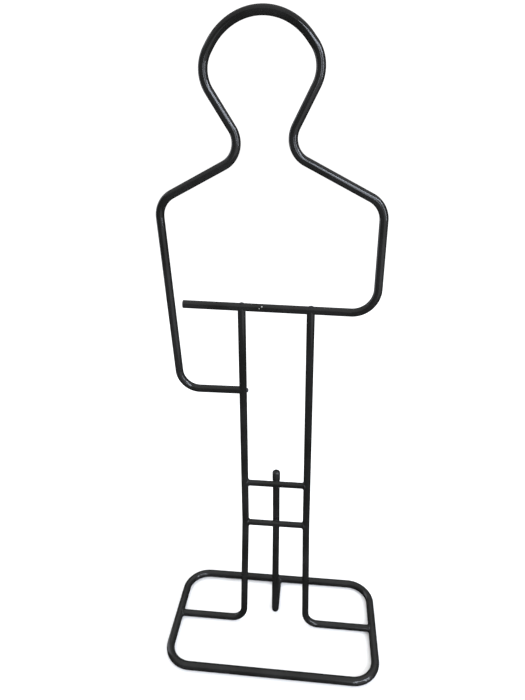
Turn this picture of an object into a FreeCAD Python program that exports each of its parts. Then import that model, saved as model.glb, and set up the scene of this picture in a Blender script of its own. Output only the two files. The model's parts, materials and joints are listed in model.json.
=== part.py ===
"""Valet stand: the outline of a standing figure in bent steel tube on a flat ring base.

Millimetres.  X runs along the shoulders, Y from the front of the stand to its back, Z up.
The origin is on the floor under the middle of the base ring.
Every tube is bent cold from straight stock, so each path is straight runs joined by arcs.
"""
import FreeCAD, Part
import math
import os
import Sketcher

doc = FreeCAD.newDocument("valet_stand")

# ---------------------------------------------------------------------------------------
# Driving sizes
# ---------------------------------------------------------------------------------------
SIZES = {
    # tube stock
    "base_tube_d": 16.0,        # ring on the floor
    "frame_tube_d": 14.0,       # posts, figure and brace
    "cross_tube_d": 12.0,       # two crossbars
    "tube_wall": 1.2,
    # base ring, outside sizes
    "base_width": 436.0,
    "base_depth": 252.0,
    "base_corner_r": 48.0,      # bend radius on the tube's centre-line
    "seam_gap": 0.4,            # root gap of the ring's butt weld
    # posts: half-spacings at the floor, the knee and the waist
    "foot_x": 67.0,
    "knee_x": 62.0,
    "waist_x": 59.0,
    "foot_back": 4.0,           # feet stand this far behind the ring's middle
    "knee_back": 28.0,          # lean of the lower legs, foot to knee
    "foot_bend_r": 27.0,
    "knee_bend_r": 70.0,
    "knee_run": 12.0,           # straight stub below the knee bend, where the leg goes on
    # heights
    "knee_z": 251.0,            # lower crossbar
    "crossbar_rise": 99.0,      # upper crossbar above the lower one
    "forearm_z": 556.8,
    "hip_z": 711.0,             # trouser bar at the outer (hip) end
    "bar_rise": 9.5,            # the bar climbs this much to its free end, over bar_run
    "bar_run": 371.0,
    # figure outline: corners of the centre-line, measured from the middle of the stand
    "hip_x": 167.8,
    "arm_rise": 176.6,          # hip corner to shoulder corner
    "bar_end_x": 161.0,         # free end of the trouser bar
    "elbow_x": 174.9,
    "left_shoulder_x": 189.3,
    "left_shoulder_rise": 3.2,  # left shoulder above the right one
    "neck_rise": 80.0,          # shoulder corner to right neck corner
    "left_neck_drop": 4.1,      # left neck corner below the right one
    "right_neck_x": 12.6,
    "left_neck_x": 44.9,
    "head_x": 28.9,             # crown corner, left of the middle
    "temple_rise": 115.0,       # neck corner to right temple corner
    "left_temple_drop": 7.6,    # left temple corner below the right one
    "right_temple_x": 72.6,
    "left_temple_x": 116.0,
    "crown_rise": 129.4,        # temple corner to crown corner
    "hip_bend_r": 41.0,
    "shoulder_bend_r": 39.5,
    "neck_bend_r": 36.3,
    "temple_bend_r": 50.2,
    "crown_bend_r": 87.5,
    "elbow_bend_r": 36.7,
    # rear brace and its cap
    "brace_floor_bend_r": 27.0,
    "brace_top": 18.0,          # brace above the upper crossbar's axis
    "cap_wall": 0.7,
    "cap_skirt": 16.0,
    "cap_dome": 5.5,
    # plug in the bar's free end
    "plug_flange": 2.0,
    "plug_stem": 16.0,
    "plug_fillet": 0.8,
    # screws and their threaded inserts
    "screw_d": 5.0,
    "screw_hole_play": 0.3,     # on the radius, where a screw passes through a tube
    "waist_head_d": 8.4,
    "waist_head_cone": 1.5,
    "waist_head_dome": 1.3,
    "waist_thread": 16.0,       # thread below the trouser bar
    "arm_head_d": 8.0,
    "arm_head_t": 3.0,
    "arm_thread": 16.0,         # thread past the post, inside the forearm
    "recess_width": 1.2,        # cross recess in each head
    "recess_length": 4.4,
    "recess_depth": 1.6,
    "insert_length": 22.0,
    "insert_setback": 1.0,      # insert below the saddle cut of its tube
    # weld beads
    "weld_r": 2.2,
    "seam_weld_r": 1.4,         # flatter bead over the ring's own butt joint
    "lap_weld_r": 5.0,          # weld round the point where brace and crossbar touch
    "lap_root_r": 1.2,          # left unfilled at that point
    "floor_gap": 0.4,           # welds stop this far above the floor
}

sheet = doc.addObject("Spreadsheet::Sheet", "sizes")
for row, (alias, number) in enumerate(SIZES.items(), start=1):
    sheet.set(f"A{row}", alias)
    sheet.set(f"B{row}", str(number))
    sheet.setAlias(f"B{row}", alias)
doc.recompute()


class Size:
    """A length held twice: as the sheet expression that drives it, and as its number now."""

    def __init__(self, text, number):
        self.text = text
        self.number = number

    def __add__(self, other):
        other = as_size(other)
        return Size(f"({self.text} + {other.text})", self.number + other.number)

    def __sub__(self, other):
        other = as_size(other)
        return Size(f"({self.text} - {other.text})", self.number - other.number)

    def __mul__(self, other):
        other = as_size(other)
        return Size(f"({self.text} * {other.text})", self.number * other.number)

    def __truediv__(self, other):
        other = as_size(other)
        return Size(f"({self.text} / {other.text})", self.number / other.number)

    def __neg__(self):
        return Size(f"(0 - {self.text})", -self.number)


def as_size(value):
    """A plain number as a Size; a Size as it is."""
    return value if isinstance(value, Size) else Size(f"({value:g})", float(value))


def root(value):
    """Square root of a Size."""
    return Size(f"sqrt({value.text})", math.sqrt(value.number))


def size(alias):
    """One driving size, read from the sheet."""
    return Size(f"sizes.{alias}", float(getattr(sheet, alias)))


def minus(a, b):
    """Vector a - b of two points held as Sizes."""
    return tuple(as_size(p) - q for p, q in zip(a, b))


def along(start, direction, distance):
    """The point at a distance from start along a direction of any length."""
    reach = as_size(distance) / length(direction)
    return tuple(as_size(p) + as_size(d) * reach for p, d in zip(start, direction))


def length(vector):
    """Length of a vector of Sizes."""
    total = as_size(vector[0]) * vector[0]
    for part in vector[1:]:
        total = total + as_size(part) * part
    return root(total)


def vector_text(point):
    """A point as the sheet language writes a vector."""
    return "create(<<vector>>; " + "; ".join(as_size(p).text for p in point) + ")"


def place(item, base, z_axis=(0, 0, 1), x_axis=None):
    """Bind an object's placement: its origin, the way its Z points and, if given, its X."""
    if x_axis is None:
        turn = f"{vector_text((0, 0, 1))}; {vector_text(z_axis)}"
    else:
        turn = f"{vector_text(x_axis)}; {vector_text((0, 0, 0))}; {vector_text(z_axis)}; <<ZXY>>"
    text = f"create(<<placement>>; {vector_text(base)}; create(<<rotation>>; {turn}))"
    item.setExpression("Placement", text)


# ---------------------------------------------------------------------------------------
# Makers of the shapes that repeat
# ---------------------------------------------------------------------------------------
PLANE_OF = {"X": "YZ_Plane", "Y": "XZ_Plane", "Z": "XY_Plane"}


def new_sketch(body, name, plane):
    """A sketch on one of its own body's origin planes."""
    sketch = body.newObject("Sketcher::SketchObject", name)
    origin = [item for item in body.Origin.OriginFeatures if item.Role == plane]
    sketch.AttachmentSupport = [(origin[0], "")]
    sketch.MapMode = "FlatFace"
    return sketch


def bind(sketch, kind, *places_and_size):
    """Add a dimension to a sketch and drive it from the sheet."""
    value = as_size(places_and_size[-1])
    spots = places_and_size[:-1]
    index = sketch.addConstraint(Sketcher.Constraint(kind, *spots, value.number))
    sketch.setExpression(f"Constraints[{index}]", value.text)


def bend_path(sketch, corners, radii, closed=False):
    """Straight runs joined by tangent arcs, one arc inside each corner of a polygon."""
    points = [FreeCAD.Vector(as_size(a).number, as_size(b).number, 0) for a, b in corners]
    count = len(points)
    bends = range(count) if closed else range(1, count - 1)
    touch = {}
    for spot, radius in zip(bends, radii):
        here = points[spot]
        back = (points[spot - 1] - here).normalize()
        ahead = (points[(spot + 1) % count] - here).normalize()
        half = back.getAngle(ahead) / 2
        reach = radius.number / math.tan(half)
        middle = here + (back + ahead).normalize() * (radius.number / math.sin(half))
        touch[spot] = (here + back * reach, here + ahead * reach, middle)
    runs = {}
    for spot in range(count if closed else count - 1):
        following = (spot + 1) % count
        begin = touch[spot][1] if spot in touch else points[spot]
        end = touch[following][0] if following in touch else points[following]
        runs[spot] = sketch.addGeometry(Part.LineSegment(begin, end), False)
    for spot, radius in zip(bends, radii):
        enter, leave, middle = touch[spot]
        before, after = runs[(spot - 1) % count], runs[spot]
        turns_left = (enter - middle).cross(leave - middle).z > 0
        first, last = (enter, leave) if turns_left else (leave, enter)
        circle = Part.Circle(middle, FreeCAD.Vector(0, 0, 1), radius.number)
        angles = [math.atan2(spoke.y - middle.y, spoke.x - middle.x) for spoke in (first, last)]
        arc = sketch.addGeometry(Part.ArcOfCircle(circle, *angles), False)
        ends = (1, 2) if turns_left else (2, 1)
        sketch.addConstraint(Sketcher.Constraint("Tangent", before, 2, arc, ends[0]))
        sketch.addConstraint(Sketcher.Constraint("Tangent", arc, ends[1], after, 1))
        bind(sketch, "Radius", arc, radius)
        corner = sketch.addGeometry(Part.Point(points[spot]), True)
        sketch.addConstraint(Sketcher.Constraint("PointOnObject", corner, 1, before))
        sketch.addConstraint(Sketcher.Constraint("PointOnObject", corner, 1, after))
        bind(sketch, "DistanceX", -1, 1, corner, 1, corners[spot][0])
        bind(sketch, "DistanceY", -1, 1, corner, 1, corners[spot][1])
    if not closed:
        for run, end, spot in ((runs[0], 1, 0), (runs[count - 2], 2, count - 1)):
            bind(sketch, "DistanceX", -1, 1, run, end, corners[spot][0])
            bind(sketch, "DistanceY", -1, 1, run, end, corners[spot][1])


def bent_tube(name, plane, corners, radii, start_axis, outside_d, hollow=True):
    """A body: a ring-shaped section swept along a bent path that starts along start_axis.
    Unless it is hollow, it is the tube's outer shape filled in, for coping its neighbours."""
    body = doc.addObject("PartDesign::Body", name)
    path = new_sketch(body, name + "_path", plane)
    bend_path(path, corners, radii)
    flat = {"XZ_Plane": "XZ", "YZ_Plane": "YZ", "XY_Plane": "XY"}[plane]
    start = {"X": as_size(0), "Y": as_size(0), "Z": as_size(0)}
    start[flat[0]], start[flat[1]] = as_size(corners[0][0]), as_size(corners[0][1])
    section = new_sketch(body, name + "_section", PLANE_OF[start_axis])
    lift = -start["Y"] if start_axis == "Y" else start[start_axis]
    section.setExpression("AttachmentOffset.Base.z", lift.text)
    across = [axis for axis in "XYZ" if axis != start_axis]
    centre = FreeCAD.Vector(start[across[0]].number, start[across[1]].number, 0)
    radius = as_size(outside_d) / 2
    for ring_r in (radius, radius - size("tube_wall")) if hollow else (radius,):
        circle = Part.Circle(centre, FreeCAD.Vector(0, 0, 1), ring_r.number)
        ring = section.addGeometry(circle, False)
        bind(section, "Radius", ring, ring_r)
        bind(section, "DistanceX", -1, 1, ring, 3, start[across[0]])
        bind(section, "DistanceY", -1, 1, ring, 3, start[across[1]])
    doc.recompute()
    pipe = body.newObject("PartDesign::AdditivePipe", name + "_pipe")
    pipe.Profile = (section, [""])
    pipe.Spine = (path, [])
    body.Tip = pipe
    return body


def rod(name, start, end, radius):
    """A solid cylinder from one point to another."""
    item = doc.addObject("Part::Cylinder", name)
    direction = minus(end, start)
    item.setExpression("Radius", as_size(radius).text)
    item.setExpression("Height", length(direction).text)
    place(item, start, z_axis=direction)
    return item


def turned(name, profile, base, axis, recess_top=None):
    """A body turned about its own Z from (radius, height) points, then stood along an axis.

    A point marked "dome" starts an arc that is centred on the axis and ends at its top.
    recess_top is the height of a head's crown, where a cross recess is sunk into it.
    """
    body = doc.addObject("PartDesign::Body", name)
    sketch = new_sketch(body, name + "_profile", "XZ_Plane")
    points = [FreeCAD.Vector(as_size(p[0]).number, as_size(p[1]).number, 0) for p in profile]
    lines = []
    for spot, point in enumerate(points):
        following = points[(spot + 1) % len(points)]
        if "dome" in profile[spot]:
            rise = following.y - point.y
            dome_r = (point.x ** 2 + rise ** 2) / (2 * rise)
            middle = FreeCAD.Vector(0, following.y - dome_r, 0)
            circle = Part.Circle(middle, FreeCAD.Vector(0, 0, 1), dome_r)
            start = math.atan2(point.y - middle.y, point.x)
            dome = sketch.addGeometry(Part.ArcOfCircle(circle, start, math.pi / 2), False)
            sketch.addConstraint(Sketcher.Constraint("PointOnObject", dome, 3, -2))
            lines.append(dome)
        else:
            lines.append(sketch.addGeometry(Part.LineSegment(point, following), False))
    for spot, line in enumerate(lines):
        sketch.addConstraint(Sketcher.Constraint("Coincident", line, 1, lines[spot - 1], 2))
        bind(sketch, "DistanceX", -1, 1, line, 1, profile[spot][0])
        bind(sketch, "DistanceY", -1, 1, line, 1, profile[spot][1])
    doc.recompute()
    revolution = body.newObject("PartDesign::Revolution", name + "_turn")
    revolution.Profile = (sketch, [""])
    revolution.ReferenceAxis = (sketch, ["V_Axis"])
    revolution.Angle = 360
    body.Tip = revolution
    if recess_top is not None:
        outline = new_sketch(body, name + "_recess", "XY_Plane")
        outline.setExpression("AttachmentOffset.Base.z", recess_top.text)
        arm, half = size("recess_length") / 2, size("recess_width") / 2
        cross = [(arm, -half), (arm, half), (half, half), (half, arm), (-half, arm),
                 (-half, half), (-arm, half), (-arm, -half), (-half, -half), (-half, -arm),
                 (half, -arm), (half, -half)]
        spots = [FreeCAD.Vector(x.number, y.number, 0) for x, y in cross]
        edges = [outline.addGeometry(Part.LineSegment(spot, spots[(index + 1) % len(spots)]), False)
                 for index, spot in enumerate(spots)]
        for index, edge_line in enumerate(edges):
            outline.addConstraint(
                Sketcher.Constraint("Coincident", edge_line, 1, edges[index - 1], 2))
            bind(outline, "DistanceX", -1, 1, edge_line, 1, cross[index][0])
            bind(outline, "DistanceY", -1, 1, edge_line, 1, cross[index][1])
        doc.recompute()
        pocket = body.newObject("PartDesign::Pocket", name + "_pocket")
        pocket.Profile = (outline, [""])
        pocket.setExpression("Length", "sizes.recess_depth")
        body.Tip = pocket
    place(body, base, z_axis=axis)
    return body


def join(name, items):
    """Several shapes as one."""
    item = doc.addObject("Part::MultiFuse", name)
    item.Shapes = items
    item.Refine = True
    return item


def cut(name, base, tools):
    """A shape less one or more others."""
    item = doc.addObject("Part::Cut", name)
    item.Base = base
    item.Tool = tools[0] if len(tools) == 1 else join(name + "_tools", tools)
    item.Refine = True
    return item


def weld_ring(name, centre, axis, joint_r):
    """The raw bead round a butt joint: a torus about the joined tube's end."""
    item = doc.addObject("Part::Torus", name)
    item.setExpression("Radius1", as_size(joint_r).text)
    item.setExpression("Radius2", "sizes.weld_r")
    place(item, centre, z_axis=axis)
    return item


# ---------------------------------------------------------------------------------------
# Lines that several pieces share
# ---------------------------------------------------------------------------------------
base_r = size("base_tube_d") / 2
frame_r = size("frame_tube_d") / 2
cross_r = size("cross_tube_d") / 2
foot_y = size("foot_back")
post_y = foot_y + size("knee_back")             # the plane of posts, crossbars and figure
knee_z = size("knee_z")
upper_z = knee_z + size("crossbar_rise")
ring_x = size("base_width") / 2 - base_r
ring_y = size("base_depth") / 2 - base_r
bar_slope = size("bar_rise") / size("bar_run")
long_reach = as_size(2) * size("base_tube_d")


def bar_z_at(x):
    """Height of the trouser bar's axis over a place along X."""
    return size("hip_z") + (size("hip_x") - x) * bar_slope


def post_line(side):
    """Foot corner, knee corner and top of one post; side is -1 for left and 1 for right."""
    foot = (size("foot_x") * side, foot_y, frame_r)
    knee = (size("knee_x") * side, post_y, knee_z)
    waist = size("waist_x") * side
    return foot, knee, (waist, post_y, bar_z_at(waist))


def post_at(side, z):
    """The point of a post's axis at a height above its knee."""
    _, knee, top = post_line(side)
    share = (as_size(z) - knee[2]) / (top[2] - knee[2])
    return (knee[0] + (top[0] - knee[0]) * share, post_y, as_size(z))


bar_direction = (1, 0, -bar_slope)

# Solid cores on the tubes' axes, used to cope one tube's end to the side of another.
bar_core = rod("bar_core", (-size("bar_end_x"), post_y, bar_z_at(-size("bar_end_x"))),
               (size("hip_x"), post_y, size("hip_z")), frame_r)
post_cores = {}
ring_cores = {}
for side, label in ((-1, "left"), (1, "right")):
    foot, knee, top = post_line(side)
    post_cores[side] = rod(f"{label}_post_core", knee, top, frame_r)
    edge = (ring_x * side, -ring_y / 2, base_r)
    ring_cores[side] = rod(f"{label}_ring_core", edge, (edge[0], ring_y / 2, base_r), base_r)
rear_core = rod("rear_ring_core", (-ring_x / 2, ring_y, base_r),
                (ring_x / 2, ring_y, base_r), base_r)
floor_box = doc.addObject("Part::Box", "floor_box")
floor_box.setExpression("Length", "sizes.base_width")
floor_box.setExpression("Width", "sizes.base_depth")
floor_box.setExpression("Height", "sizes.base_tube_d")
place(floor_box, (-size("base_width") / 2, -size("base_depth") / 2,
                  size("floor_gap") - size("base_tube_d")))

parts = []


def finish(item, label):
    """Name a finished sub-part; its label is the name of its file."""
    item.Label = label
    parts.append(item)


# ---------------------------------------------------------------------------------------
# Base ring: one tube bent to a rounded rectangle, butt welded behind the rear brace
# ---------------------------------------------------------------------------------------
seam = size("seam_gap") / 2
ring_corners = [(seam, ring_y), (ring_x, ring_y), (ring_x, -ring_y),
                (-ring_x, -ring_y), (-ring_x, ring_y), (-seam, ring_y)]
base_ring = bent_tube("base_ring_body", "XY_Plane", ring_corners,
                      [size("base_corner_r")] * 4, "X", size("base_tube_d"))
place(base_ring, (0, 0, base_r))
finish(base_ring, "base_ring")

# ---------------------------------------------------------------------------------------
# Posts: foot turned outward to the ring, leg leaning back to the knee, then upright
# ---------------------------------------------------------------------------------------
arm_screw_r = size("screw_d") / 2 + size("screw_hole_play")
arm_post = post_at(-1, size("forearm_z"))
arm_hole = rod("arm_screw_hole", (arm_post[0] - size("frame_tube_d"), post_y, arm_post[2]),
               (arm_post[0] + size("frame_tube_d"), post_y, arm_post[2]), arm_screw_r)
post_solids = {}
post_skins = {}                                 # upright and knee filled in, for coping
for side, label in ((-1, "left"), (1, "right")):
    foot, knee, top = post_line(side)
    leg = minus(knee, foot)
    upper = minus(top, knee)
    # lower leg, drawn in the plane that leans back with it
    lean = root(leg[1] * leg[1] + leg[2] * leg[2])
    leg_end = along((knee[0], lean), (-leg[0], -lean), size("knee_run"))
    lower = bent_tube(f"{label}_leg", "XZ_Plane",
                      [(ring_x * side, as_size(0)), (foot[0], as_size(0)), leg_end],
                      [size("foot_bend_r")], "X", size("frame_tube_d"))
    place(lower, (0, foot_y, frame_r), z_axis=(0, leg[1], leg[2]), x_axis=(1, 0, 0))
    # upright with the knee bend, drawn in the plane of the two directions
    cosine = (leg[0] * upper[0] + leg[2] * upper[2]) / (length(leg) * length(upper))
    sine = root(as_size(1) - cosine * cosine)
    stub = (sine * size("knee_run"), -cosine * size("knee_run"))
    route = [(as_size(0), length(upper)), (as_size(0), as_size(0)), stub]
    upright = bent_tube(f"{label}_upright", "XZ_Plane", route,
                        [size("knee_bend_r")], "Z", size("frame_tube_d"))
    post_skins[side] = bent_tube(f"{label}_upright_skin", "XZ_Plane", route,
                                 [size("knee_bend_r")], "Z", size("frame_tube_d"), hollow=False)
    for item in (upright, post_skins[side]):
        place(item, knee, z_axis=upper, x_axis=minus(foot, knee))
    blank = join(f"{label}_post_blank", [lower, upright])
    tools = [bar_core, ring_cores[side]]
    if side == -1:
        tools.append(arm_hole)
    post_solids[side] = cut(f"{label}_post_solid", blank, tools)
    finish(post_solids[side], f"{label}_post")

# ---------------------------------------------------------------------------------------
# Crossbars: two thinner tubes coped and welded between the posts
# ---------------------------------------------------------------------------------------
cross_cores = {}
for z, label in ((upper_z, "upper"), (knee_z, "lower")):
    left, right = post_at(-1, z), post_at(1, z)
    core = rod(f"{label}_crossbar_core", left, right, cross_r)
    bore = rod(f"{label}_crossbar_bore", left, right, cross_r - size("tube_wall"))
    cross_cores[label] = core
    crossbar = cut(f"{label}_crossbar_solid", core, [bore, post_skins[-1], post_skins[1]])
    finish(crossbar, f"{label}_crossbar")

# ---------------------------------------------------------------------------------------
# Rear brace: follows the posts one tube behind the crossbars, then runs back to the ring
# ---------------------------------------------------------------------------------------
brace_behind = cross_r + frame_r
brace_x = as_size(0)
brace_foot = (foot_y + brace_behind, frame_r)
brace_knee = (post_y + brace_behind, knee_z)
brace_end = (post_y + brace_behind, upper_z + size("brace_top"))
brace_route = [brace_end, brace_knee, brace_foot, (ring_y, frame_r)]
brace_bends = [size("knee_bend_r"), size("brace_floor_bend_r")]
brace_body = bent_tube("rear_brace_body", "YZ_Plane", brace_route, brace_bends,
                       "Z", size("frame_tube_d"))
brace_skin = bent_tube("rear_brace_skin", "YZ_Plane", brace_route, brace_bends,
                       "Z", size("frame_tube_d"), hollow=False)
brace_solid = cut("rear_brace_solid", brace_body, [rear_core])
finish(brace_solid, "rear_brace")

# ---------------------------------------------------------------------------------------
# Figure: one tube for trouser bar, right arm, shoulders, head, left arm and forearm
# ---------------------------------------------------------------------------------------
shoulder_z = size("hip_z") + size("arm_rise")
neck_z = shoulder_z + size("neck_rise")
temple_z = neck_z + size("temple_rise")
bar_end = -size("bar_end_x")
figure_corners = [
    (arm_post[0], size("forearm_z")),
    (-size("elbow_x"), size("forearm_z")),
    (-size("left_shoulder_x"), shoulder_z + size("left_shoulder_rise")),
    (-size("left_neck_x"), neck_z - size("left_neck_drop")),
    (-size("left_temple_x"), temple_z - size("left_temple_drop")),
    (-size("head_x"), temple_z + size("crown_rise")),
    (size("right_temple_x"), temple_z),
    (size("right_neck_x"), neck_z),
    (size("hip_x"), shoulder_z),
    (size("hip_x"), size("hip_z")),
    (bar_end + size("plug_flange"), bar_z_at(bar_end + size("plug_flange"))),
]
figure_radii = [size(part + "_bend_r") for part in
                ("elbow", "shoulder", "neck", "temple", "crown", "temple", "neck",
                 "shoulder", "hip")]
figure_body = bent_tube("figure_body", "XZ_Plane", figure_corners, figure_radii,
                        "X", size("frame_tube_d"))
place(figure_body, (0, post_y, 0))

# ---------------------------------------------------------------------------------------
# Waist screws: through the trouser bar, down the axis of each post into its insert
# ---------------------------------------------------------------------------------------
screw_r = size("screw_d") / 2
head_r = size("waist_head_d") / 2
waist_holes = []
for side, label in ((-1, "left"), (1, "right")):
    foot, knee, top = post_line(side)
    upper = minus(top, knee)
    seat = along(top, upper, frame_r)
    shank = size("frame_tube_d") + size("waist_thread")
    cone = size("waist_head_cone")
    crest = size("waist_head_dome")
    profile = [(as_size(0), -shank), (screw_r, -shank), (screw_r, -cone),
               (head_r, as_size(0), "dome"), (as_size(0), crest)]
    screw = turned(f"{label}_waist_screw_body", profile, seat, upper, recess_top=crest)
    finish(screw, f"{label}_waist_screw")
    # hole through the bar: clearance for the shank, sunk to the cone of the head
    clear_r = screw_r + size("screw_hole_play")
    sink = cone * (head_r - clear_r) / (head_r - screw_r)
    hole_profile = [(as_size(0), -(frame_r * 4)), (clear_r, -(frame_r * 4)), (clear_r, -sink),
                    (head_r, as_size(0)), (head_r, crest), (as_size(0), crest)]
    waist_holes.append(turned(f"{label}_waist_hole", hole_profile, seat, upper))
    # insert: a plug pressed into the post's top, threaded for the screw
    start = along(top, upper, -(frame_r + size("insert_setback") + size("insert_length")))
    end = along(top, upper, -(frame_r + size("insert_setback")))
    plug = rod(f"{label}_insert_plug", start, end, frame_r - size("tube_wall"))
    thread = rod(f"{label}_insert_thread", start, end, screw_r)
    finish(cut(f"{label}_insert_solid", plug, [thread]), f"{label}_post_insert")

# the forearm's end is coped to the left post; the bar above is left whole over both posts
forearm_saddle = rod("forearm_saddle", post_at(-1, size("forearm_z") - size("frame_tube_d")),
                     post_at(-1, size("forearm_z") + size("frame_tube_d")), frame_r)
figure = cut("figure_solid", figure_body, [forearm_saddle] + waist_holes)
finish(figure, "figure_tube")

# ---------------------------------------------------------------------------------------
# Arm screw: pan head on the post, through it and into the forearm's insert
# ---------------------------------------------------------------------------------------
pan_r = size("arm_head_d") / 2
pan_t = size("arm_head_t")
arm_shank = size("frame_tube_d") + size("arm_thread")
pan_seat = (arm_post[0] + frame_r, post_y, arm_post[2])
pan_profile = [(as_size(0), -arm_shank), (screw_r, -arm_shank), (screw_r, -frame_r),
               (pan_r, -frame_r), (pan_r, pan_t * 0.4, "dome"), (as_size(0), pan_t)]
arm_screw_raw = turned("arm_screw_body", pan_profile, pan_seat, (1, 0, 0), recess_top=pan_t)
arm_shank_core = rod("arm_shank_core", (pan_seat[0] - arm_shank, post_y, arm_post[2]),
                     (arm_post[0] + frame_r, post_y, arm_post[2]), screw_r)
head_only = cut("arm_screw_head", arm_screw_raw, [post_cores[-1]])
arm_screw = join("arm_screw_solid", [head_only, arm_shank_core])
finish(arm_screw, "arm_screw")

insert_end = arm_post[0] - frame_r - size("insert_setback")
arm_plug = rod("forearm_plug", (insert_end - size("insert_length"), post_y, arm_post[2]),
               (insert_end, post_y, arm_post[2]), frame_r - size("tube_wall"))
arm_thread = rod("forearm_thread", (insert_end - size("insert_length"), post_y, arm_post[2]),
                 (insert_end, post_y, arm_post[2]), screw_r)
finish(cut("forearm_insert_solid", arm_plug, [arm_thread]), "forearm_insert")

# ---------------------------------------------------------------------------------------
# Plug in the free end of the trouser bar: flange against the tube's end, stem inside it
# ---------------------------------------------------------------------------------------
flange = size("plug_flange")
edge = size("plug_fillet")
stem_r = frame_r - size("tube_wall")
plug_profile = [(as_size(0), -size("plug_stem")), (stem_r, -size("plug_stem")),
                (stem_r, as_size(0)), (frame_r, as_size(0)), (frame_r, flange - edge),
                (frame_r - edge * 0.3, flange - edge * 0.3), (frame_r - edge, flange),
                (as_size(0), flange)]
bar_tip = bar_end + flange
bar_plug = turned("bar_plug_body", plug_profile, (bar_tip, post_y, bar_z_at(bar_tip)),
                  (-1, 0, bar_slope))
finish(bar_plug, "bar_end_plug")

# ---------------------------------------------------------------------------------------
# Welds: beads where one tube is butted or lapped against another
# ---------------------------------------------------------------------------------------
for z, label in ((upper_z, "upper"), (knee_z, "lower")):
    for side, hand in ((-1, "left"), (1, "right")):
        centre = post_at(side, z)
        edge_x = centre[0] - frame_r * side
        raw = weld_ring(f"{label}_{hand}_bead", (edge_x, post_y, centre[2]), (1, 0, 0), cross_r)
        bead = cut(f"{label}_{hand}_weld_solid", raw, [cross_cores[label], post_skins[side]])
        finish(bead, f"{label}_{hand}_weld")

for side, hand in ((-1, "left"), (1, "right")):
    foot_edge = (ring_x - base_r) * side
    raw = weld_ring(f"{hand}_foot_bead", (foot_edge, foot_y, frame_r), (1, 0, 0), frame_r)
    foot_core = rod(f"{hand}_foot_core", (ring_x * side, foot_y, frame_r),
                    (foot_edge - size("base_tube_d") * side, foot_y, frame_r), frame_r)
    bead = cut(f"{hand}_foot_weld_solid", raw, [foot_core, ring_cores[side], floor_box])
    finish(bead, f"{hand}_foot_weld")

rear_raw = weld_ring("brace_bead", (brace_x, ring_y - base_r, frame_r), (0, 1, 0), frame_r)
brace_tail = rod("brace_tail_core", (brace_x, ring_y - long_reach, frame_r),
                 (brace_x, ring_y, frame_r), frame_r)
finish(cut("brace_weld_solid", rear_raw, [brace_tail, rear_core, floor_box]), "brace_ring_weld")

# seam of the ring: a bead round the back of the tube, stopping clear of the brace and its weld
seam_raw = doc.addObject("Part::Torus", "seam_bead")
seam_raw.setExpression("Radius1", base_r.text)
seam_raw.setExpression("Radius2", "sizes.seam_weld_r")
place(seam_raw, (0, ring_y, base_r), z_axis=(1, 0, 0))
brace_room_r = frame_r + size("weld_r") + size("seam_weld_r") * 2
brace_room = rod("brace_room", (brace_x, ring_y - long_reach, frame_r),
                 (brace_x, ring_y, frame_r), brace_room_r)
finish(cut("base_seam_weld_solid", seam_raw, [rear_core, brace_room, floor_box]), "base_seam_weld")

lap_welds = {}
for z, label in ((upper_z, "upper"), (knee_z, "lower")):
    front, back = (brace_x, post_y, z), (brace_x, post_y + brace_behind, z)
    outer = rod(f"{label}_lap_outer", front, back, size("lap_weld_r"))
    root_gap = rod(f"{label}_lap_root", front, back, size("lap_root_r"))
    tools = [root_gap, cross_cores[label], brace_skin]
    lap_welds[label] = cut(f"{label}_lap_weld_solid", outer, tools)
    finish(lap_welds[label], f"{label}_lap_weld")

# ---------------------------------------------------------------------------------------
# Cap on the brace: a thin thimble with a domed top, whose soft skirt gives way round the
# crossbar and the weld behind it
# ---------------------------------------------------------------------------------------
cap_r = frame_r + size("cap_wall")
cap_profile = [(as_size(0), as_size(0)), (frame_r, as_size(0)), (frame_r, -size("cap_skirt")),
               (cap_r, -size("cap_skirt")), (cap_r, as_size(0), "dome"),
               (as_size(0), size("cap_dome"))]
cap_raw = turned("brace_cap_body", cap_profile, (brace_x, brace_end[0], brace_end[1]), (0, 0, 1))
brace_cap = cut("brace_cap_solid", cap_raw, [cross_cores["upper"], lap_welds["upper"]])
finish(brace_cap, "brace_cap")

# ---------------------------------------------------------------------------------------
# Check every object, then write each sub-part
# ---------------------------------------------------------------------------------------
doc.recompute()
for item in doc.Objects:
    states = [state for state in item.State if state in ("Invalid", "Error")]
    if states:
        raise RuntimeError(f"{item.Name}: {states}")
os.makedirs("parts", exist_ok=True)
for item in parts:
    shape = item.Shape
    if shape.isNull() or not shape.isValid():
        raise RuntimeError(f"{item.Label}: no valid shape")
    shape.exportStep(f"parts/{item.Label}.step")
    box = shape.BoundBox
    print(f"{item.Label:22s} solids {len(shape.Solids)}  volume {shape.Volume:9.1f}  "
          f"x {box.XMin:7.1f} {box.XMax:7.1f}  y {box.YMin:6.1f} {box.YMax:6.1f}  "
          f"z {box.ZMin:6.1f} {box.ZMax:7.1f}")
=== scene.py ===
import json
import math

import bmesh
import bpy
from mathutils import Matrix, Vector

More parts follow.
